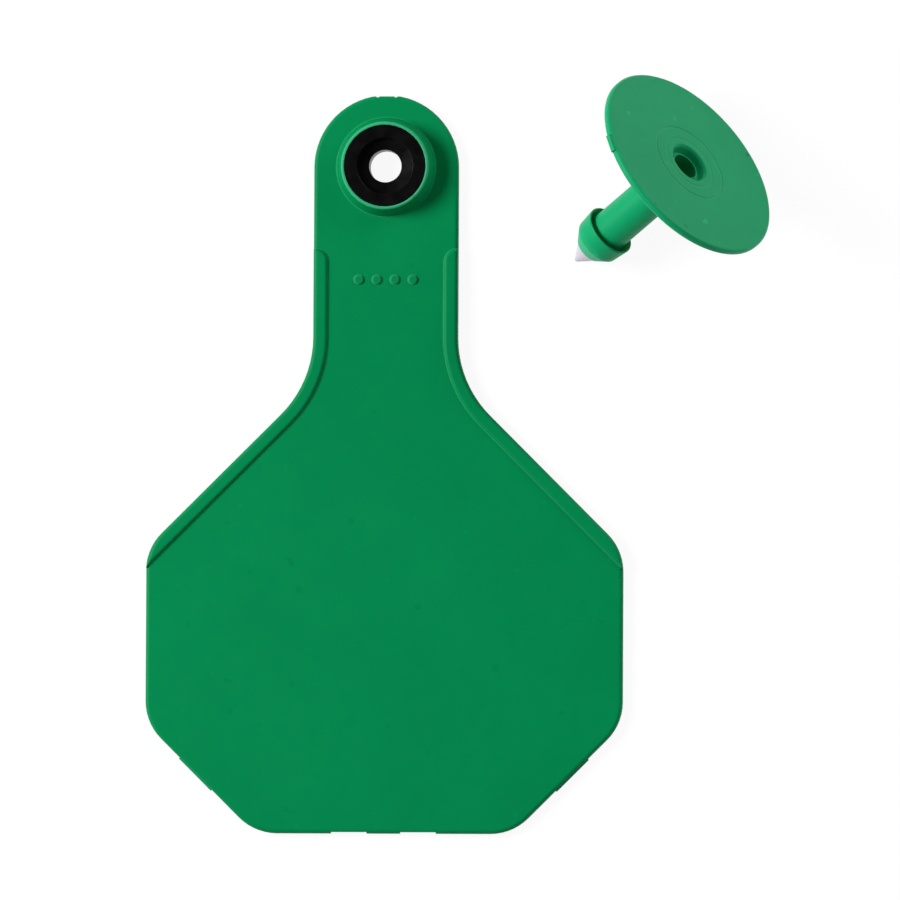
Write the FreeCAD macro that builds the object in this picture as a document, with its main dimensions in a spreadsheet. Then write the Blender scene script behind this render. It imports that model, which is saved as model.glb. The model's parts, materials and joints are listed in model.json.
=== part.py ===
"""Two-piece livestock ear tag: the panel with its hard locking ring, and the button that snaps into it.

The frame sits on the panel. The origin is on the axis of the locking hole, at the panel's back face, +Y runs
towards the head of the panel and +Z out of its front. The button lies beside the panel on the same surface,
on the rim of its disc and its barb. Lengths are in millimetres, angles in degrees.
"""

import FreeCAD
import Part
import Sketcher
import math
import os
import re

SIZES = {
    # panel: a flat moulding with a narrow neck and an eight-cornered body
    "panel_width": 63.5,
    "neck_width": 19.25,
    "neck_drop": 28.7,
    "shoulder_angle": 45.0,
    "side_length": 23.2,
    "foot_angle": 45.0,
    "foot_drop": 14.6,
    "plate_thickness": 1.55,
    "neck_radius": 14.6,
    "corner_radius": 7.1,
    "edge_round": 0.5,
    # rib that stiffens the neck and the shoulders
    "rib_width": 1.85,
    "rib_height": 0.42,
    "rib_drop": 10.9,
    "rib_end_radius": 1.7,
    "rib_round": 0.38,
    # what the mould leaves: the flat of the gate with its nicks, the foot's notches and its lugs
    "gate_flat": 0.19,
    "nick_offset": 1.2,
    "nick_width": 0.4,
    "nick_depth": 0.12,
    "notch_width": 4.8,
    "notch_depth": 0.2,
    "notch_offset": 4.6,
    "lug_length": 6.0,
    "lug_height": 0.17,
    "lug_lead": 6.5,
    # row of round pips on the neck
    "pip_radius": 0.6,
    "pip_height": 0.22,
    "pip_pitch": 2.4,
    "pip_drop": 15.0,
    # boss round the locking ring
    "boss_base_radius": 6.6,
    "boss_top_radius": 5.82,
    "boss_height": 3.1,
    "boss_bevel": 0.12,
    # hard locking ring, moulded into the boss and held by a flange inside the plate
    "ring_radius": 5.45,
    "ring_sunk": 0.12,
    "ring_spigot_radius": 4.2,
    "ring_spigot_height": 0.4,
    "ring_flange_radius": 7.2,
    "ring_flange_height": 0.75,
    "recess_radius": 3.75,
    "recess_depth": 0.9,
    "recess_floor_drop": 0.2,
    "hole_radius": 2.16,
    # button: disc with two fine rings round its mouth, stem and barb
    "disc_radius": 14.15,
    "disc_edge": 1.0,
    "disc_bevel": 0.25,
    "swell_radius": 8.0,
    "swell_height": 0.9,
    "outer_crease_radius": 5.7,
    "outer_crease_depth": 0.12,
    "inner_crease_radius": 3.9,
    "inner_crease_depth": 0.07,
    "crease_width": 0.26,
    "root_radius": 1.0,
    "stem_radius": 2.72,
    "stem_length": 15.0,
    "barb_radius": 3.6,
    "barb_back_bevel": 0.15,
    "barb_hook": 0.9,
    "barb_land": 2.7,
    "barb_nose_radius": 3.3,
    "barb_taper": 1.7,
    "barb_ledge": 0.1,
    "mouth_radius": 3.0,
    "mouth_bevel": 0.3,
    "mouth_throat": 2.35,
    "mouth_depth": 1.2,
    "lip_width": 0.17,
    "lip_height": 0.3,
    "bore_radius": 1.85,
    "bore_length": 11.5,
    "tab_length": 2.6,
    "tab_height": 0.22,
    "tab_thickness": 0.6,
    # hard point of the button, keyed into the stem
    "tip_radius": 1.98,
    "tip_length": 2.8,
    "tip_end_radius": 0.25,
    "shank_radius": 1.2,
    "shank_length": 4.0,
    "key_radius": 1.65,
    "key_height": 1.0,
    # where the button lies beside the panel
    "button_right": 40.92,
    "button_up": -0.09,
    "button_turn_angle": 37.96,
    "button_roll_angle": 148.0,
}


def make_sheet(doc):
    """The sheet that holds every driving size, each one under a word of its own."""
    sheet = doc.addObject("Spreadsheet::Sheet", "Sizes")
    for row, (word, value) in enumerate(SIZES.items(), start=1):
        sheet.set(f"A{row}", word)
        sheet.set(f"B{row}", str(value))
        sheet.setAlias(f"B{row}", word)
    doc.recompute()
    return sheet


SAME = 1e-3  # how far apart two places may be and still be the same one

doc = FreeCAD.newDocument("EarTag")
sheet = make_sheet(doc)


def bound(formula):
    """A formula over the sheet's words, as an expression that other objects can hold."""
    return re.sub(r"\b[a-z]+(_[a-z]+)+\b", r"Sizes.\g<0>", formula)


def size(formula):
    """The number that a formula over the sheet's words gives."""
    return float(sheet.evalExpression(bound(formula)))


def bind(thing, **formulas):
    """Ties properties of a feature to formulas over the sheet."""
    for name, formula in formulas.items():
        thing.setExpression(name, bound(formula))


def new_sketch(body, name, role):
    """An empty sketch on one of the body's own origin planes."""
    sketch = body.newObject("Sketcher::SketchObject", name)
    plane = next(item for item in body.Origin.OriginFeatures if item.Role == role)
    sketch.AttachmentSupport = [(plane, "")]
    sketch.MapMode = "FlatFace"
    return sketch


def tie_point(sketch, curve, end, spot):
    """Ties one point of a curve to a pair of formulas, measured from the sketch's origin."""
    for kind, axis, formula in (("DistanceX", -2, spot[0]), ("DistanceY", -1, spot[1])):
        value = size(formula)
        if formula == "0":
            sketch.addConstraint(Sketcher.Constraint("PointOnObject", curve, end, axis))
        elif value < 0:
            index = sketch.addConstraint(Sketcher.Constraint(kind, curve, end, -1, 1, -value))
            sketch.setExpression(f"Constraints[{index}]", bound(f"-({formula})"))
        else:
            index = sketch.addConstraint(Sketcher.Constraint(kind, -1, 1, curve, end, value))
            sketch.setExpression(f"Constraints[{index}]", bound(formula))


def outline(body, name, role, corners):
    """A closed sketch with straight sides through corners, each a pair of formulas."""
    sketch = new_sketch(body, name, role)
    spots = [FreeCAD.Vector(size(across), size(along), 0) for across, along in corners]
    for start, end in zip(spots, spots[1:] + spots[:1]):
        sketch.addGeometry(Part.LineSegment(start, end))
    for index, corner in enumerate(corners):
        before = (index - 1) % len(corners)
        sketch.addConstraint(Sketcher.Constraint("Coincident", before, 2, index, 1))
        tie_point(sketch, index, 1, corner)
    return sketch


def circles(body, name, role, centres, radius):
    """A sketch of equal circles round centres, each a pair of formulas."""
    sketch = new_sketch(body, name, role)
    for index, centre in enumerate(centres):
        middle = FreeCAD.Vector(size(centre[0]), size(centre[1]), 0)
        sketch.addGeometry(Part.Circle(middle, FreeCAD.Vector(0, 0, 1), size(radius)))
        if centre == ("0", "0"):
            sketch.addConstraint(Sketcher.Constraint("Coincident", index, 3, -1, 1))
        else:
            tie_point(sketch, index, 3, centre)
        ring = sketch.addConstraint(Sketcher.Constraint("Radius", index, size(radius)))
        sketch.setExpression(f"Constraints[{ring}]", bound(radius))
    return sketch


def raise_pad(body, name, profile, height, up=True):
    """A pad of a sketch on the ground plane, upwards from z = 0."""
    pad = body.newObject("PartDesign::Pad", name)
    pad.Profile = profile
    pad.Reversed = not up
    bind(pad, Length=height)
    doc.recompute()
    return pad


def cut_pocket(body, name, profile):
    """A pocket through the whole body, whose sketch lies on the ground plane."""
    before = body.Shape.Volume
    pocket = body.newObject("PartDesign::Pocket", name)
    pocket.Profile = profile
    pocket.Type = "ThroughAll"
    pocket.Midplane = True
    doc.recompute()
    if body.Shape.Volume >= before:
        raise RuntimeError(f"{name} removes nothing")
    return pocket


def turn(body, name, profile):
    """A full turn of a half section about the sketch's upright axis."""
    revolution = body.newObject("PartDesign::Revolution", name)
    revolution.Profile = profile
    revolution.ReferenceAxis = (profile, ["V_Axis"])
    revolution.Angle = 360
    doc.recompute()
    return revolution


def round_edges(body, name, base, edges, radius):
    """A fillet of the named edges of the body's last feature."""
    fillet = body.newObject("PartDesign::Fillet", name)
    fillet.Base = (base, edges)
    bind(fillet, Radius=radius)
    doc.recompute()
    return fillet


def edges_where(shape, keep):
    """Names of the edges that a test keeps, for a fillet's base."""
    return [f"Edge{number}" for number, edge in enumerate(shape.Edges, start=1) if keep(edge)]


def upright_at(spots):
    """A test for edges that stand upright at one of the spots, each a pair of formulas."""
    places = [FreeCAD.Vector(size(across), size(along), 0) for across, along in spots]

    def keep(edge):
        box = edge.BoundBox
        foot = FreeCAD.Vector(box.Center.x, box.Center.y, 0)
        thin = max(box.XLength, box.YLength) < SAME
        return thin and any(foot.distanceToPoint(place) < SAME for place in places)

    return keep


def level_at(height):
    """A test for edges that lie flat at a height, given as a formula."""
    level = size(height)
    return lambda edge: max(abs(edge.BoundBox.ZMin - level), abs(edge.BoundBox.ZMax - level)) < SAME


# Corners of the panel's right half, from the neck down.
NECK = "neck_width / 2"
SIDE = "panel_width / 2"
SHOULDER_DROP = "(neck_drop + (panel_width - neck_width) / 2 / tan(shoulder_angle))"
FOOT_DROP = f"({SHOULDER_DROP} + side_length)"
FOOT_HALF = "(panel_width / 2 - foot_drop / tan(foot_angle))"
BOTTOM_DROP = f"({FOOT_DROP} + foot_drop)"
RIGHT_HALF = [(NECK, "-neck_drop"), (SIDE, f"-{SHOULDER_DROP}"), (SIDE, f"-{FOOT_DROP}"),
              (FOOT_HALF, f"-{BOTTOM_DROP}")]


def mirrored(corners):
    """The same corners on the left, in the order that closes an outline."""
    return [(f"-({across})", along) for across, along in reversed(corners)]


def make_blank(name, height):
    """A slab of the panel's outline, with its rounded head, corners and front edge."""
    body = doc.addObject("PartDesign::Body", name)
    right = [(NECK, "0")] + RIGHT_HALF
    flat = outline(body, name + "Outline", "XY_Plane", right + mirrored(right))
    raise_pad(body, name + "Pad", flat, height)
    head = circles(body, name + "HeadCircle", "XY_Plane", [("0", "0")], NECK)
    pad = raise_pad(body, name + "HeadPad", head, height)
    inner = edges_where(pad.Shape, upright_at([RIGHT_HALF[0]] + mirrored(RIGHT_HALF[:1])))
    fillet = round_edges(body, name + "NeckRounds", pad, inner, "neck_radius")
    outer = edges_where(fillet.Shape, upright_at(RIGHT_HALF[1:] + mirrored(RIGHT_HALF[1:])))
    fillet = round_edges(body, name + "CornerRounds", fillet, outer, "corner_radius")
    round_edges(body, name + "FrontRound", fillet, edges_where(fillet.Shape, level_at(height)), "edge_round")
    return body


def make_plate():
    """The flat panel with its mould marks and its row of pips."""
    body = make_blank("Plate", "plate_thickness")
    flat, deep = f"{NECK} - gate_flat", f"{NECK} - gate_flat - nick_depth"
    near, far = "(nick_offset - nick_width / 2)", "(nick_offset + nick_width / 2)"
    right = [(NECK, NECK), (NECK, flat), (far, flat), (far, deep), (near, deep), (near, flat)]
    gate = outline(body, "GateOutline", "XY_Plane", right + mirrored(right))
    cut_pocket(body, "GateFlat", gate)
    for name, centre in (("RightNotch", "notch_offset"), ("LeftNotch", "-notch_offset")):
        notch = outline(body, name + "Outline", "XY_Plane", [
            (f"{centre} - notch_width / 2", f"-{BOTTOM_DROP} - notch_depth"),
            (f"{centre} + notch_width / 2", f"-{BOTTOM_DROP} - notch_depth"),
            (f"{centre} + notch_width / 2", f"-{BOTTOM_DROP} + notch_depth"),
            (f"{centre} - notch_width / 2", f"-{BOTTOM_DROP} + notch_depth")])
        cut_pocket(body, name, notch)
    lug = lug_corners()
    for name, corners in (("RightLug", lug), ("LeftLug", mirrored(lug))):
        profile = outline(body, name + "Outline", "XY_Plane", corners)
        raise_pad(body, name, profile, "plate_thickness - edge_round")
    row = [(f"{place} * pip_pitch", "-pip_drop") for place in ("-1.5", "-0.5", "0.5", "1.5")]
    raise_pad(body, "Pips", circles(body, "PipCircles", "XY_Plane", row, "pip_radius"),
              "plate_thickness + pip_height")
    return body


def lug_corners():
    """The lug on the right lower edge: a thin strip along the slope, from lug_lead below its upper corner."""
    across, along = "cos(foot_angle)", "sin(foot_angle)"
    corners = []
    for run, out in (("lug_lead", "-lug_height"), ("lug_lead", "lug_height"),
                     ("(lug_lead + lug_length)", "lug_height"), ("(lug_lead + lug_length)", "-lug_height")):
        corners.append((f"{SIDE} - {run} * {across} + {out} * {along}",
                        f"-{FOOT_DROP} - {run} * {along} - {out} * {across}"))
    return corners


def make_rib():
    """The right rib: a strip inside the edge of the neck and the shoulder, run out at the side."""
    body = doc.addObject("PartDesign::Body", "RightBand")
    height = "plate_thickness + rib_height"
    bend = "rib_width * tan(shoulder_angle / 2)"
    run_out = f"-({SHOULDER_DROP} + rib_width / sin(shoulder_angle) + rib_width / tan(shoulder_angle))"
    inner_neck = (f"{NECK} - rib_width", f"-(neck_drop + {bend})")
    head_end = (f"{NECK} - rib_width", "-rib_drop")
    beyond = f"{SIDE} + rib_width"
    corners = [(beyond, "-rib_drop"), (beyond, run_out), inner_neck, head_end]
    pad = raise_pad(body, "BandPad", outline(body, "BandOutline", "XY_Plane", corners), height)
    fillet = round_edges(body, "BandNeckRound", pad, edges_where(pad.Shape, upright_at([inner_neck])),
                         "neck_radius + rib_width")
    fillet = round_edges(body, "BandEndRound", fillet, edges_where(fillet.Shape, upright_at([head_end])),
                         "rib_end_radius")
    edge_x = size(beyond)
    level = level_at(height)
    inside = edges_where(fillet.Shape, lambda edge: level(edge) and edge.BoundBox.XMin < edge_x - SAME)
    round_edges(body, "BandTopRound", fillet, inside, "rib_round")
    blank = make_blank("RibBlank", height)
    rib = doc.addObject("Part::MultiCommon", "RightRib")
    rib.Shapes = [blank, body]
    doc.recompute()
    return rib


BOSS_TOP = "(plate_thickness + boss_height)"
RING_TOP = f"({BOSS_TOP} - ring_sunk)"
FLANGE_TOP = "(ring_spigot_height + ring_flange_height)"
RING_OUTSIDE = [("ring_spigot_radius", "0"), ("ring_spigot_radius", "ring_spigot_height"),
                ("ring_flange_radius", "ring_spigot_height"), ("ring_flange_radius", FLANGE_TOP),
                ("ring_radius", FLANGE_TOP)]


def make_boss():
    """The cone round the ring, from half-way down the plate to its rim."""
    body = doc.addObject("PartDesign::Body", "Boss")
    middle = "plate_thickness / 2"
    profile = outline(body, "BossSection", "XZ_Plane", [
        ("0", middle), ("boss_base_radius", middle), ("boss_base_radius", "plate_thickness"),
        ("boss_top_radius", f"{BOSS_TOP} - boss_bevel"), ("boss_top_radius - boss_bevel", BOSS_TOP),
        ("0", BOSS_TOP)])
    turn(body, "BossCone", profile)
    return body


def make_ring_room():
    """The space that the ring fills in the boss, open above it."""
    body = doc.addObject("PartDesign::Body", "RingRoom")
    above = f"{BOSS_TOP} + boss_height"
    profile = outline(body, "RoomSection", "XZ_Plane",
                      [("0", "0")] + RING_OUTSIDE + [("ring_radius", above), ("0", above)])
    turn(body, "RoomTurn", profile)
    return body


def make_ring():
    """The hard ring: spigot, flange and barrel outside, and inside the hole and the recess for the barb."""
    body = doc.addObject("PartDesign::Body", "LockingRing")
    floor = f"{RING_TOP} - recess_depth"
    profile = outline(body, "RingSection", "XZ_Plane", [("hole_radius", "0")] + RING_OUTSIDE + [
        ("ring_radius", RING_TOP), ("recess_radius", RING_TOP), ("recess_radius", floor),
        ("hole_radius", f"{floor} - recess_floor_drop")])
    turn(body, "RingTurn", profile)
    return body


def make_panel():
    """The panel as one moulding, with the room for its ring cut out."""
    right_rib = make_rib()
    left_rib = doc.addObject("Part::Mirroring", "LeftRib")
    left_rib.Source = right_rib
    left_rib.Normal = FreeCAD.Vector(1, 0, 0)
    pieces = [make_plate(), right_rib, left_rib, make_boss()]
    room = make_ring_room()
    moulding = doc.addObject("Part::MultiFuse", "Moulding")
    moulding.Shapes = pieces
    panel = doc.addObject("Part::Cut", "Panel")
    panel.Base = moulding
    panel.Tool = room
    doc.recompute()
    return panel


# Heights along the button's own axis: the face of the disc at 0, the stem below it.
BARB_BACK = "(disc_edge + stem_length)"
BARB_NOSE = f"({BARB_BACK} + barb_land)"
BARB_FRONT = f"({BARB_NOSE} + barb_taper)"
TIP_END = f"({BARB_FRONT} + tip_length)"
SHANK_TOP = f"({BARB_FRONT} - shank_length)"
KEY_END = f"({SHANK_TOP} + key_height)"
SHANK = [("0", f"-{SHANK_TOP}"), ("key_radius", f"-{SHANK_TOP}"), ("key_radius", f"-{KEY_END}"),
         ("shank_radius", f"-{KEY_END}"), ("shank_radius", f"-{BARB_FRONT}")]


def crease(radius, depth):
    """A fine groove in the face of the disc, as three corners of its half section."""
    half = "crease_width / 2"
    return [(f"{radius} - {half}", "0"), (radius, f"-{depth}"), (f"{radius} + {half}", "0")]


def make_stud():
    """The button: disc, stem, barb, and a blind bore for the pliers' pin with a lip inside its mouth."""
    body = doc.addObject("PartDesign::Body", "Button")
    bottom = "-(mouth_depth + bore_length - lip_height)"
    lip = "-(mouth_depth - lip_height)"
    swell = "-(disc_edge + swell_height)"
    mouth = [("0", bottom), ("bore_radius", bottom), ("bore_radius", lip), ("bore_radius + lip_width", lip),
             ("bore_radius + lip_width", "-mouth_depth"), ("mouth_throat", "-mouth_depth"),
             ("mouth_radius - mouth_bevel", "-mouth_bevel"), ("mouth_radius", "0")]
    rings = [*crease("inner_crease_radius", "inner_crease_depth"),
             *crease("outer_crease_radius", "outer_crease_depth")]
    disc = [("disc_radius - disc_bevel", "0"), ("disc_radius", "-disc_bevel"),
            ("disc_radius", "-(disc_edge - disc_bevel)"), ("disc_radius - disc_bevel", "-disc_edge"),
            ("swell_radius", "-disc_edge"), ("stem_radius", swell)]
    barb = [("stem_radius", f"-({BARB_BACK} + barb_hook)"),
            ("barb_radius - barb_back_bevel", f"-{BARB_BACK}"),
            ("barb_radius", f"-({BARB_BACK} + barb_back_bevel)"),
            ("barb_nose_radius", f"-{BARB_NOSE}"), ("tip_radius + barb_ledge", f"-{BARB_FRONT}")]
    profile = outline(body, "ButtonSection", "XZ_Plane", mouth + rings + disc + barb + SHANK[::-1])
    shape = turn(body, "ButtonTurn", profile)
    root = edges_where(shape.Shape, ring_edge("stem_radius", swell))
    round_edges(body, "RootRound", shape, root, "root_radius")
    tab = outline(body, "TabOutline", "XY_Plane", [
        ("disc_radius - tab_height", "-tab_length / 2"), ("disc_radius + tab_height", "-tab_length / 2"),
        ("disc_radius + tab_height", "tab_length / 2"), ("disc_radius - tab_height", "tab_length / 2")])
    tab.setExpression("AttachmentOffset.Base.z", bound("-(disc_edge - tab_thickness) / 2"))
    raise_pad(body, "GateTab", tab, "tab_thickness", up=False)
    return body


def ring_edge(radius, height):
    """A test for the circle of a radius at a height along the axis, both formulas."""
    reach, level = size(radius), size(height)

    def keep(edge):
        box = edge.BoundBox
        return abs(box.XMax - reach) < SAME and max(abs(box.ZMin - level), abs(box.ZMax - level)) < SAME

    return keep


def make_tip():
    """The hard point, with the shank and key that hold it in the stem."""
    body = doc.addObject("PartDesign::Body", "Point")
    profile = outline(body, "PointSection", "XZ_Plane", SHANK + [
        ("tip_radius", f"-{BARB_FRONT}"), ("tip_end_radius", f"-{TIP_END}"), ("0", f"-{TIP_END}")])
    turn(body, "PointTurn", profile)
    return body


def button_placement():
    """Where the button comes to rest: its rim and its barb or point touch the ground."""
    out, back = size("disc_radius"), size("disc_edge - disc_bevel")
    front = (("barb_nose_radius", BARB_NOSE), ("tip_radius + barb_ledge", BARB_FRONT),
             ("tip_end_radius", TIP_END))
    lean = min(math.atan2(out - size(radius), size(depth) - back) for radius, depth in front)
    height = out * math.cos(lean) + back * math.sin(lean)
    upright = FreeCAD.Vector(0, 0, 1)
    turned = FreeCAD.Rotation(upright, size("button_turn_angle"))
    tipped = FreeCAD.Rotation(FreeCAD.Vector(0, 1, 0), 90 - math.degrees(lean))
    rolled = FreeCAD.Rotation(upright, size("button_roll_angle"))
    return FreeCAD.Placement(FreeCAD.Vector(size("button_right"), size("button_up"), height),
                             turned * tipped * rolled)


def check(nodes):
    """Stops at the first object that failed and at the first node whose shape can't be written."""
    for item in doc.Objects:
        if "Invalid" in item.State or "Error" in item.State:
            raise RuntimeError(f"{item.Name} failed: {item.State}")
    for node in nodes:
        if node.Shape.isNull() or not node.Shape.isValid() or len(node.Shape.Solids) != 1:
            raise RuntimeError(f"{node.Label} is not one valid solid")


def main():
    """Builds the four pieces and writes each one to its own file."""
    nodes = {"tag_panel": make_panel(), "locking_ring": make_ring(),
             "stud": make_stud(), "stud_tip": make_tip()}
    lying = button_placement()
    for name in ("stud", "stud_tip"):
        nodes[name].Placement = lying
    for label, node in nodes.items():
        node.Label = label
    doc.recompute()
    check(nodes.values())
    os.makedirs("parts", exist_ok=True)
    for label, node in nodes.items():
        node.Shape.exportStep(f"parts/{label}.step")
        print(f"{label}: {node.Shape.Volume:.2f} mm3")


main()
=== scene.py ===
import json
import math

import bpy
from bpy.props import FloatProperty, FloatVectorProperty, PointerProperty
from mathutils import Matrix, Vector


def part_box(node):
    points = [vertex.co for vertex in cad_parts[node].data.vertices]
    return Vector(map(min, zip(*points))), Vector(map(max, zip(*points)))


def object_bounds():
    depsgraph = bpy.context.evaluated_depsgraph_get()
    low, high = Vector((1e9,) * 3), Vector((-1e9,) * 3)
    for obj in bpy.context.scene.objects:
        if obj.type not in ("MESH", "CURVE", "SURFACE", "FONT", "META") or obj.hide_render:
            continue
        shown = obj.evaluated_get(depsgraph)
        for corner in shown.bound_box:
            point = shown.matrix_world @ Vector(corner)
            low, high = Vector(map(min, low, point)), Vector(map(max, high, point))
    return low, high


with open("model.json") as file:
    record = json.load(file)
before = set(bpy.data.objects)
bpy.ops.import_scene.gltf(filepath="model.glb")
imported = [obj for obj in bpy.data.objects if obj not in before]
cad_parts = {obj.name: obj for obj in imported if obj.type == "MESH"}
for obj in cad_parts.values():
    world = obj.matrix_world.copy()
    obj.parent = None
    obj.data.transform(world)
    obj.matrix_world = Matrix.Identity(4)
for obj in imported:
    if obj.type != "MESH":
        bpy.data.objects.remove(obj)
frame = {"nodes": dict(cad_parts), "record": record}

bl_info = {
    "name": "Livestock ear tag",
    "version": (1, 0, 0),
    "blender": (4, 5, 0),
    "location": "3D View > Sidebar > Ear tag",
    "description": "Dresses the panel, locking ring and button of a two-piece ear tag and lights them",
    "category": "Object",
}

CAD_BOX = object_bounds()
MM = 0.001
UP = (0, 0, 1)


# ---------------------------------------------------------------- sizes and colours that a user would change

def colour(name, words, value):
    """A colour property, in linear light."""
    return FloatVectorProperty(name=name, description=words, default=value, subtype="COLOR",
                               size=3, min=0, max=1)


def share(name, words, value):
    """A property from 0 to 1."""
    return FloatProperty(name=name, description=words, default=value, subtype="FACTOR",
                         min=0, max=1)


def length(name, words, value):
    """A length in metres."""
    return FloatProperty(name=name, description=words, default=value, unit="LENGTH", min=0)


def angle(name, words, value):
    """An angle, given in degrees."""
    return FloatProperty(name=name, description=words, default=math.radians(value),
                         unit="ROTATION")


class PanelFinish(bpy.types.PropertyGroup):
    colour: colour("Colour", "Green of the panel's flat face", (0.0, 0.275, 0.087))
    # Painted highlight: the paler green below is laid on rounded edges and on the boss's rim, where light
    # catches them.
    highlight_colour: colour("Thin edge", "Paler green where the moulding is thin", (0.06, 0.52, 0.25))
    highlight_reach: length("Edge reach", "How far the paler green reaches in from an edge", 0.45 * MM)
    edge_highlight_share: share("Edge share", "How much the edges are paler", 0.40)
    rim_highlight_share: share("Rim share", "How much the thin rim of the boss is paler", 0.75)
    specks: share("Specks", "How plain the specks in the moulding are", 0.15)
    edge_softness: length("Edge softness", "Radius by which the edges look rounded", 0.30 * MM)
    gloss: share("Gloss", "Strength of the surface's shine", 0.07)
    roughness: share("Roughness", "How matt the moulding is", 0.42)
    grain: length("Grain", "Distance between the grains of the mould's surface", 0.35 * MM)


class RingFinish(bpy.types.PropertyGroup):
    colour: colour("Colour", "Black of the hard ring", (0.0015, 0.0015, 0.002))
    roughness: share("Roughness", "How matt the ring is", 0.32)


class ButtonFinish(bpy.types.PropertyGroup):
    colour: colour("Colour", "Green of the button", (0.004, 0.40, 0.155))
    # Painted highlight: the paler green below is laid on rounded edges and on the nose of the barb, where
    # light glints.
    highlight_colour: colour("Thin edge", "Paler green where the moulding is thin", (0.06, 0.56, 0.28))
    highlight_reach: length("Edge reach", "How far the paler green reaches in from an edge", 0.35 * MM)
    edge_highlight_share: share("Edge share", "How much the edges are paler", 0.45)
    nose_highlight_share: share("Nose share", "How much the nose of the barb is paler", 0.60)
    specks: share("Specks", "How plain the specks in the moulding are", 0.55)
    edge_softness: length("Edge softness", "Radius by which the edges look rounded", 0.25 * MM)
    gloss: share("Gloss", "Strength of the surface's shine", 0.12)
    roughness: share("Roughness", "How matt the button is", 0.40)
    grain: length("Grain", "Distance between the grains of the mould's surface", 0.30 * MM)


class PointFinish(bpy.types.PropertyGroup):
    colour: colour("Colour", "Pale plastic of the point", (0.70, 0.66, 0.74))
    roughness: share("Roughness", "How matt the point is", 0.35)


class StageFinish(bpy.types.PropertyGroup):
    floor_colour: colour("Floor", "Colour of the table under the tag", (0.80, 0.80, 0.80))
    floor_glow: share("Floor glow", "How far the table is lifted to white where it is seen", 0.925)
    key_power: FloatProperty(name="Key light", description="Power of the large light at the left",
                             default=3.6, unit="POWER", min=0)
    side_power: FloatProperty(name="Side light", description="Power of the soft light at the right",
                              default=1.5, unit="POWER", min=0)
    light_down: length("Light down", "Drop from the panel's head to the lights' aim", 35 * MM)
    sky: FloatProperty(name="Sky", description="Strength of the room's even light", default=0.40, min=0)
    camera_distance: length("Camera distance", "Distance of the camera from the table", 2.0)
    view_width: length("View width", "Width of the table that the camera takes in", 119.65 * MM)
    view_right: length("View right", "From the panel's axis to the middle of the view", 8.58 * MM)
    view_down: length("View down", "Drop from the panel's head to the middle of the view", 47.02 * MM)
    view_roll: angle("View roll", "Turn of the camera about its own line", 0.28)
    lean_right: angle("Lean right", "How far the camera leans to the right of straight above", 3.66)
    lean_down: angle("Lean down", "How far the camera leans down from straight above", 2.75)


# ---------------------------------------------------------------- small helpers for materials

# A Mix node repeats its socket names for each kind of data, so its colour sockets go by number.
MIX_BELOW, MIX_TOP, MIX_RESULT = 6, 7, 2

# How far the front of a zone wanders, as a share of the zone's length.
RAGGED = 0.6
RAGGED_GRAIN = 1.5 * MM


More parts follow.
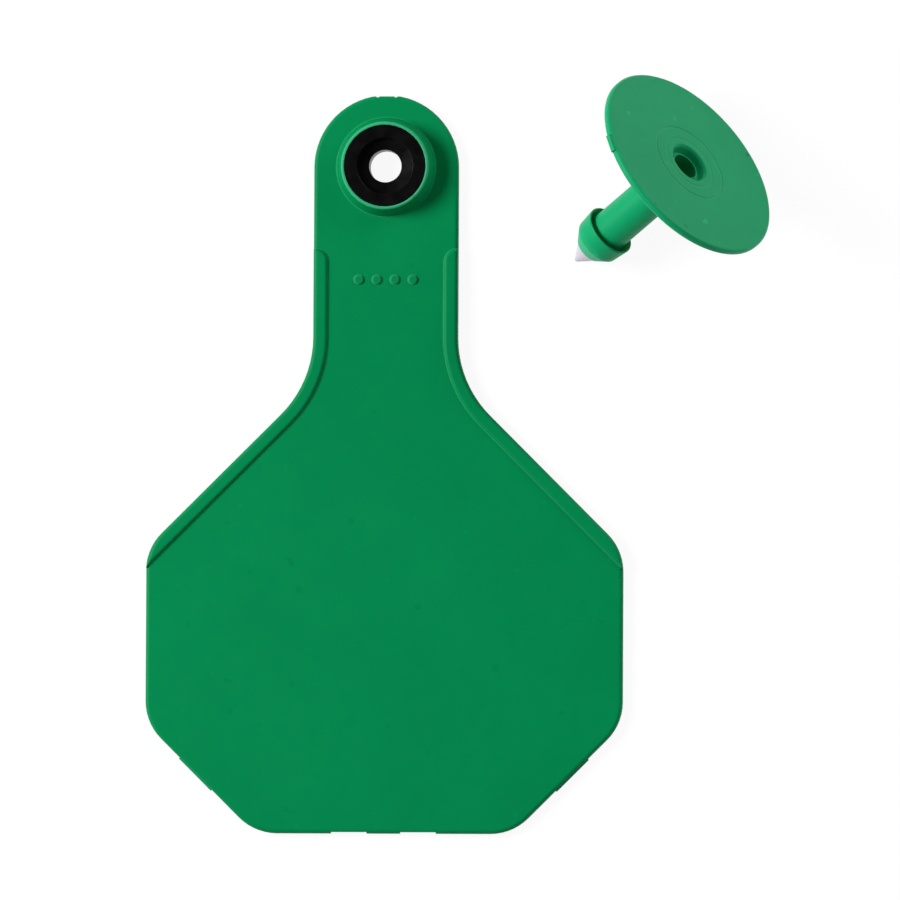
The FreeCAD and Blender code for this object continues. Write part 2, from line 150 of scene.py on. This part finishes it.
class Finish:
    """A material under construction, with short calls for its nodes."""

    def __init__(self, name):
        self.material = bpy.data.materials.new(name)
        self.material.use_nodes = True
        self.tree = self.material.node_tree
        self.shader = self.tree.nodes["Principled BSDF"]

    def node(self, kind, **settings):
        """A node with its settings, which are attributes or unlinked inputs."""
        node = self.tree.nodes.new(kind)
        for name, value in settings.items():
            if hasattr(node, name):
                setattr(node, name, value)
            else:
                node.inputs[name.replace("_", " ")].default_value = value
        return node

    def link(self, source, target):
        self.tree.links.new(source, target)

    def set(self, **inputs):
        """Constants on the shader's own sockets."""
        for name, value in inputs.items():
            self.shader.inputs[name.replace("_", " ")].default_value = value

    def noise(self, spacing, detail=2.0, stretch=(1, 1, 1)):
        """Noise on object coordinates whose features lie about that far apart."""
        place = self.node("ShaderNodeTexCoord")
        mapping = self.node("ShaderNodeMapping")
        mapping.inputs["Scale"].default_value = stretch
        noise = self.node("ShaderNodeTexNoise", Scale=1 / spacing, Detail=detail, Roughness=0.55)
        self.link(place.outputs["Object"], mapping.inputs["Vector"])
        self.link(mapping.outputs["Vector"], noise.inputs["Vector"])
        return noise.outputs["Fac"]

    def ramp(self, source, low, high, at=(0.3, 0.7)):
        """Two colours or greys blended by a factor."""
        ramp = self.node("ShaderNodeValToRGB")
        ramp.color_ramp.elements[0].position = at[0]
        ramp.color_ramp.elements[1].position = at[1]
        ramp.color_ramp.elements[0].color = low
        ramp.color_ramp.elements[1].color = high
        self.link(source, ramp.inputs["Fac"])
        return ramp.outputs["Color"]

    def blend(self, below, colour, factor, amount):
        """A colour laid over another by a mask, as strongly as the amount says."""
        top = self.node("ShaderNodeValToRGB")
        top.color_ramp.elements[0].color = grey(0)
        top.color_ramp.elements[1].color = grey(amount)
        self.link(factor, top.inputs["Fac"])
        mix = self.node("ShaderNodeMix", data_type="RGBA")
        self.link(top.outputs["Color"], mix.inputs["Factor"])
        self.link(below, mix.inputs[MIX_BELOW])
        mix.inputs[MIX_TOP].default_value = (*colour, 1.0)
        return mix.outputs[MIX_RESULT]

    def along(self, line, start, end):
        """A mask that rises from 0 to 1 between two distances along a line, with a ragged front."""
        place = self.node("ShaderNodeTexCoord")
        dot = self.node("ShaderNodeVectorMath", operation="DOT_PRODUCT")
        self.link(place.outputs["Object"], dot.inputs[0])
        dot.inputs[1].default_value = line
        wander = (end - start) * RAGGED
        ragged = self.node("ShaderNodeMath", operation="MULTIPLY_ADD")
        self.link(self.noise(RAGGED_GRAIN), ragged.inputs[0])
        ragged.inputs[1].default_value = wander
        self.link(dot.outputs["Value"], ragged.inputs[2])
        zone = self.node("ShaderNodeMapRange")
        zone.inputs["From Min"].default_value = start + wander / 2
        zone.inputs["From Max"].default_value = end + wander / 2
        self.link(ragged.outputs[0], zone.inputs["Value"])
        return zone.outputs["Result"]

    def edges(self, reach, low, high):
        """A mask that is 0 on flat faces and 1 where the surface turns sharply within the reach.

        Low and high are the turns that begin and complete it, each as one minus its cosine.
        """
        soft = self.node("ShaderNodeBevel", samples=8, Radius=reach)
        surface = self.node("ShaderNodeNewGeometry")
        dot = self.node("ShaderNodeVectorMath", operation="DOT_PRODUCT")
        self.link(soft.outputs["Normal"], dot.inputs[0])
        self.link(surface.outputs["Normal"], dot.inputs[1])
        turned = self.node("ShaderNodeMapRange")
        turned.inputs["From Min"].default_value = 1 - low
        turned.inputs["From Max"].default_value = 1 - high
        self.link(dot.outputs["Value"], turned.inputs["Value"])
        return turned.outputs["Result"]

    def bump(self, field, height, below):
        """A height field of that height, laid over another normal."""
        bump = self.node("ShaderNodeBump", Strength=1.0, Distance=height)
        self.link(field, bump.inputs["Height"])
        self.link(below, bump.inputs["Normal"])
        return bump.outputs["Normal"]


def shade(value, factor):
    """A colour made darker or lighter, with an alpha of 1."""
    return tuple(min(1.0, part * factor) for part in value) + (1.0,)


def grey(value):
    """A grey, with an alpha of 1."""
    return (value, value, value, 1.0)


def button_axis():
    """The direction from the button's disc to its point, and where on it the bore's middle lies."""
    bore = next(mount for mount in frame["record"]["mounts"] if mount["name"] == "pin_bore")
    line = -Vector(bore["axis"])
    return line, line.dot(Vector(bore["pos_m"]))


def dress(node, material):
    """Puts the material on a CAD node's own slots."""
    thing = frame["nodes"][node]
    for slot in thing.material_slots:
        slot.link = "OBJECT"
        slot.material = material


# The soft green moulding: spacings and heights in metres, tones as shares of its colour.
CLOUD_SPACING, CLOUD_DARK, CLOUD_PALE = 14 * MM, 0.97, 1.04
# Turns of the surface at which the painted edge highlight begins and is full.
EDGE_HIGHLIGHT_BEGINS, EDGE_HIGHLIGHT_FULL = 0.02, 0.16
SPECKS = (
    # spacing, level of the noise above which a speck shows, tone
    (1.7 * MM, 0.735, 1.55),
    (2.3 * MM, 0.745, 0.45),
)
SPECK_EDGE = 0.03
WEAR_SPACING, WEAR_SMOOTH, WEAR_MATT = 2.2 * MM, -0.04, 0.06
FLOW_SPACING, FLOW_STRETCH, FLOW_HEIGHT = 5 * MM, (1, 0.35, 1), 0.02 * MM
GRAIN_HEIGHT = 0.004 * MM


def moulded_rubber(name, look, highlight_zone, zone_highlight_share):
    """Satin polyurethane from the mould: cloudy, finely grained and specked, with a painted highlight in
    paler green on its edges and over one zone.

    The highlight zone is a line with the distances along it at which the painted highlight begins and is
    full.
    """
    finish = Finish(name)
    cloud = finish.noise(CLOUD_SPACING, detail=3)
    green = finish.ramp(cloud, shade(look.colour, CLOUD_DARK), shade(look.colour, CLOUD_PALE))
    # Painted highlight: paler green on the rounded edges.
    thin = finish.edges(look.highlight_reach, EDGE_HIGHLIGHT_BEGINS, EDGE_HIGHLIGHT_FULL)
    green = finish.blend(green, look.highlight_colour, thin, look.edge_highlight_share)
    # Painted highlight: paler green over the given zone, the boss's rim or the barb's nose.
    green = finish.blend(green, look.highlight_colour, finish.along(*highlight_zone), zone_highlight_share)
    for spacing, level, tone in SPECKS:
        spots = finish.noise(spacing, detail=1)
        spots = finish.ramp(spots, grey(0), grey(1), at=(level, level + SPECK_EDGE))
        green = finish.blend(green, shade(look.colour, tone)[:3], spots, look.specks)
    finish.link(green, finish.shader.inputs["Base Color"])
    wear = finish.noise(WEAR_SPACING, detail=4)
    wear = finish.ramp(wear, grey(look.roughness + WEAR_SMOOTH), grey(look.roughness + WEAR_MATT))
    finish.link(wear, finish.shader.inputs["Roughness"])
    soft = finish.node("ShaderNodeBevel", samples=8, Radius=look.edge_softness)
    fine = finish.noise(look.grain, detail=2)
    flow = finish.noise(FLOW_SPACING, detail=2, stretch=FLOW_STRETCH)
    waves = finish.bump(flow, FLOW_HEIGHT, below=soft.outputs["Normal"])
    finish.link(finish.bump(fine, GRAIN_HEIGHT, below=waves), finish.shader.inputs["Normal"])
    finish.set(Specular_IOR_Level=look.gloss, IOR=1.5)
    return finish.material


# ---------------------------------------------------------------- one operator for each piece

# Where the painted highlight on the boss's rim begins and is full, up from the top of the boss.
RIM_HIGHLIGHT_ZONE = (-0.35 * MM, -0.15 * MM)

# Where the painted highlight on the nose of the barb begins and is full, from the middle of the bore to the
# point.
NOSE_HIGHLIGHT_ZONE = (11.0 * MM, 13.4 * MM)

# The hard ring: its worn patches, its softened edges and its fine grain.
RING_WEAR_SPACING, RING_WEAR_SMOOTH, RING_WEAR_MATT = 1.5 * MM, -0.05, 0.08
RING_EDGE_SOFTNESS = 0.10 * MM
RING_GRAIN, RING_GRAIN_HEIGHT = 0.2 * MM, 0.002 * MM

# The hard point: its faint clouds.
POINT_CLOUD_SPACING, POINT_CLOUD_DARK, POINT_CLOUD_PALE = 1.2 * MM, 0.92, 1.05


class EARTAG_OT_panel(bpy.types.Operator):
    """Gives the panel its satin green"""
    bl_idname = "eartag.panel"
    bl_label = "Panel"

    def execute(self, context):
        look = context.scene.eartag_panel
        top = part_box("tag_panel")[1][2]
        # Painted highlight in paler green on the boss's rim.
        rim = (UP, *(top + rise for rise in RIM_HIGHLIGHT_ZONE))
        dress("tag_panel", moulded_rubber("panel_rubber", look, rim, look.rim_highlight_share))
        return {"FINISHED"}


class EARTAG_OT_locking_ring(bpy.types.Operator):
    """Gives the hard locking ring its black"""
    bl_idname = "eartag.locking_ring"
    bl_label = "Locking ring"

    def execute(self, context):
        look = context.scene.eartag_ring
        finish = Finish("ring_nylon")
        finish.set(Base_Color=shade(look.colour, 1), Specular_IOR_Level=0.2, IOR=1.53)
        wear = finish.noise(RING_WEAR_SPACING, detail=4)
        smooth, matt = look.roughness + RING_WEAR_SMOOTH, look.roughness + RING_WEAR_MATT
        finish.link(finish.ramp(wear, grey(smooth), grey(matt)), finish.shader.inputs["Roughness"])
        soft = finish.node("ShaderNodeBevel", samples=6, Radius=RING_EDGE_SOFTNESS)
        grain = finish.bump(finish.noise(RING_GRAIN), RING_GRAIN_HEIGHT, below=soft.outputs["Normal"])
        finish.link(grain, finish.shader.inputs["Normal"])
        dress("locking_ring", finish.material)
        return {"FINISHED"}


class EARTAG_OT_button(bpy.types.Operator):
    """Gives the button its satin green"""
    bl_idname = "eartag.button"
    bl_label = "Button"

    def execute(self, context):
        look = context.scene.eartag_button
        line, middle = button_axis()
        # Painted highlight in paler green on the nose of the barb.
        nose = (line, *(middle + reach for reach in NOSE_HIGHLIGHT_ZONE))
        dress("stud", moulded_rubber("button_rubber", look, nose, look.nose_highlight_share))
        return {"FINISHED"}


class EARTAG_OT_point(bpy.types.Operator):
    """Gives the button's hard point its pale plastic"""
    bl_idname = "eartag.point"
    bl_label = "Point"

    def execute(self, context):
        look = context.scene.eartag_point
        finish = Finish("point_nylon")
        cloud = finish.noise(POINT_CLOUD_SPACING, detail=3)
        dark, pale = shade(look.colour, POINT_CLOUD_DARK), shade(look.colour, POINT_CLOUD_PALE)
        finish.link(finish.ramp(cloud, dark, pale), finish.shader.inputs["Base Color"])
        finish.set(Roughness=look.roughness, Specular_IOR_Level=0.4, IOR=1.53)
        dress("stud_tip", finish.material)
        return {"FINISHED"}


# ---------------------------------------------------------------- stage

TABLE_HALF = 3.0
TABLE_GAP = 0.02 * MM

# How much of the lights and shadows shows on the table where it is seen directly.
TABLE_SHADOW = 0.14

# Height, as the upward part of a direction, and brightness: the walls of the room, then its ceiling.
WALLS, CEILING = (0.35, 1.0), (0.85, 0.06)

LAMPS = (
    # name, property with its power, azimuth and elevation in degrees, distance and side in metres
    ("window_left", "key_power", 168, 40, 0.60, 0.26),
    ("soft_right", "side_power", 40, 20, 0.70, 0.40),
)


def seen_directly(tree):
    """A factor that is 1 for rays from the camera, from a reflection and through glass."""
    path = tree.nodes.new("ShaderNodeLightPath")
    total = path.outputs["Is Camera Ray"]
    for name in ("Is Glossy Ray", "Is Transmission Ray"):
        add = tree.nodes.new("ShaderNodeMath")
        add.operation = "ADD"
        add.use_clamp = True
        tree.links.new(total, add.inputs[0])
        tree.links.new(path.outputs[name], add.inputs[1])
        total = add.outputs[0]
    return total


def make_floor(look):
    """A wide white table that keeps the soft shadow of the tag."""
    level = CAD_BOX[0][2] - TABLE_GAP
    mesh = bpy.data.meshes.new("table")
    corners = [(across * TABLE_HALF, along * TABLE_HALF, level)
               for across, along in ((-1, -1), (1, -1), (1, 1), (-1, 1))]
    mesh.from_pydata(corners, [], [(0, 1, 2, 3)])
    table = bpy.data.objects.new("table", mesh)
    bpy.context.scene.collection.objects.link(table)
    material = bpy.data.materials.new("white_table")
    material.use_nodes = True
    tree = material.node_tree
    shader = tree.nodes["Principled BSDF"]
    shader.inputs["Base Color"].default_value = shade(look.floor_colour, 1)
    shader.inputs["Roughness"].default_value = 0.9
    shader.inputs["Specular IOR Level"].default_value = 0.0
    thin = tree.nodes.new("ShaderNodeBsdfDiffuse")
    thin.inputs["Color"].default_value = shade(look.floor_colour, TABLE_SHADOW)
    glow = tree.nodes.new("ShaderNodeEmission")
    glow.inputs["Strength"].default_value = look.floor_glow
    lifted = tree.nodes.new("ShaderNodeAddShader")
    tree.links.new(thin.outputs[0], lifted.inputs[0])
    tree.links.new(glow.outputs[0], lifted.inputs[1])
    mix = tree.nodes.new("ShaderNodeMixShader")
    tree.links.new(seen_directly(tree), mix.inputs["Fac"])
    tree.links.new(shader.outputs[0], mix.inputs[1])
    tree.links.new(lifted.outputs[0], mix.inputs[2])
    tree.links.new(mix.outputs[0], tree.nodes["Material Output"].inputs["Surface"])
    mesh.materials.append(material)


def make_world(look):
    """A pale room that is darker overhead, and white where it is seen directly."""
    world = bpy.data.worlds.new("room")
    bpy.context.scene.world = world
    world.use_nodes = True
    tree = world.node_tree
    tree.nodes.clear()
    place = tree.nodes.new("ShaderNodeTexCoord")
    split = tree.nodes.new("ShaderNodeSeparateXYZ")
    tree.links.new(place.outputs["Generated"], split.inputs[0])
    fall = tree.nodes.new("ShaderNodeValToRGB")
    for stop, (height, brightness) in zip(fall.color_ramp.elements, (WALLS, CEILING)):
        stop.position = height
        stop.color = grey(brightness)
    tree.links.new(split.outputs["Z"], fall.inputs["Fac"])
    room = tree.nodes.new("ShaderNodeBackground")
    room.inputs["Strength"].default_value = look.sky
    tree.links.new(fall.outputs["Color"], room.inputs["Color"])
    white = tree.nodes.new("ShaderNodeBackground")
    white.inputs["Color"].default_value = grey(1.0)
    mix = tree.nodes.new("ShaderNodeMixShader")
    path = tree.nodes.new("ShaderNodeLightPath")
    tree.links.new(path.outputs["Is Camera Ray"], mix.inputs["Fac"])
    tree.links.new(room.outputs[0], mix.inputs[1])
    tree.links.new(white.outputs[0], mix.inputs[2])
    output = tree.nodes.new("ShaderNodeOutputWorld")
    tree.links.new(mix.outputs[0], output.inputs["Surface"])


def make_lamp(name, target, azimuth, elevation, distance, side, power):
    """A square area light that faces a point, from an azimuth and elevation in degrees."""
    turn, rise = math.radians(azimuth), math.radians(elevation)
    away = Vector((math.cos(turn) * math.cos(rise), math.sin(turn) * math.cos(rise), math.sin(rise)))
    light = bpy.data.lights.new(name, "AREA")
    light.shape = "SQUARE"
    light.size = side
    light.energy = power
    lamp = bpy.data.objects.new(name, light)
    lamp.location = target + away * distance
    lamp.rotation_euler = away.to_track_quat("Z", "Y").to_euler()
    bpy.context.scene.collection.objects.link(lamp)


def make_camera(look):
    """A camera far above the table that leans a few degrees to the lower right."""
    low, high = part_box("tag_panel")
    middle = Vector(((low[0] + high[0]) / 2 + look.view_right, high[1] - look.view_down, low[2]))
    away = Vector((math.tan(look.lean_right), -math.tan(look.lean_down), 1)).normalized()
    camera = bpy.data.cameras.new("overhead")
    camera.sensor_width = 36
    camera.lens = camera.sensor_width * look.camera_distance / look.view_width
    camera.clip_start = 0.01
    eye = bpy.data.objects.new("overhead", camera)
    eye.location = middle + away * look.camera_distance
    across = Vector((0, 1, 0)).cross(away).normalized()
    turned = Matrix((across, away.cross(across), away)).transposed()
    eye.rotation_euler = (turned @ Matrix.Rotation(look.view_roll, 3, "Z")).to_euler()
    bpy.context.scene.collection.objects.link(eye)
    bpy.context.scene.camera = eye


class EARTAG_OT_stage(bpy.types.Operator):
    """Sets the table, the room, the lights and the camera"""
    bl_idname = "eartag.stage"
    bl_label = "Stage"

    def execute(self, context):
        look = context.scene.eartag_stage
        make_floor(look)
        make_world(look)
        low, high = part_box("tag_panel")
        target = Vector(((low[0] + high[0]) / 2, high[1] - look.light_down, high[2]))
        for name, power, *place in LAMPS:
            make_lamp(name, target, *place, getattr(look, power))
        make_camera(look)
        context.scene.view_settings.view_transform = "Standard"
        return {"FINISHED"}


class EARTAG_PT_sidebar(bpy.types.Panel):
    """The pieces of the ear tag and its stage"""
    bl_label = "Ear tag"
    bl_idname = "EARTAG_PT_sidebar"
    bl_space_type = "VIEW_3D"
    bl_region_type = "UI"
    bl_category = "Ear tag"

    def draw(self, context):
        for look, operator in STEPS:
            box = self.layout.box()
            box.operator(operator.bl_idname)
            group = getattr(context.scene, look)
            for name in type(group).__annotations__:
                box.prop(group, name)


LOOKS = {
    "eartag_panel": PanelFinish,
    "eartag_ring": RingFinish,
    "eartag_button": ButtonFinish,
    "eartag_point": PointFinish,
    "eartag_stage": StageFinish,
}
STEPS = (
    ("eartag_panel", EARTAG_OT_panel),
    ("eartag_ring", EARTAG_OT_locking_ring),
    ("eartag_button", EARTAG_OT_button),
    ("eartag_point", EARTAG_OT_point),
    ("eartag_stage", EARTAG_OT_stage),
)
CLASSES = (*LOOKS.values(), *(operator for _, operator in STEPS), EARTAG_PT_sidebar)


def register():
    for item in CLASSES:
        bpy.utils.register_class(item)
    for name, group in LOOKS.items():
        setattr(bpy.types.Scene, name, PointerProperty(type=group))


def unregister():
    for name in LOOKS:
        delattr(bpy.types.Scene, name)
    for item in reversed(CLASSES):
        bpy.utils.unregister_class(item)


def main():
    """Registers the classes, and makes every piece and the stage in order."""
    register()
    bpy.ops.eartag.panel()
    bpy.ops.eartag.locking_ring()
    bpy.ops.eartag.button()
    bpy.ops.eartag.point()
    bpy.ops.eartag.stage()


if __name__ == "__main__":
    main()
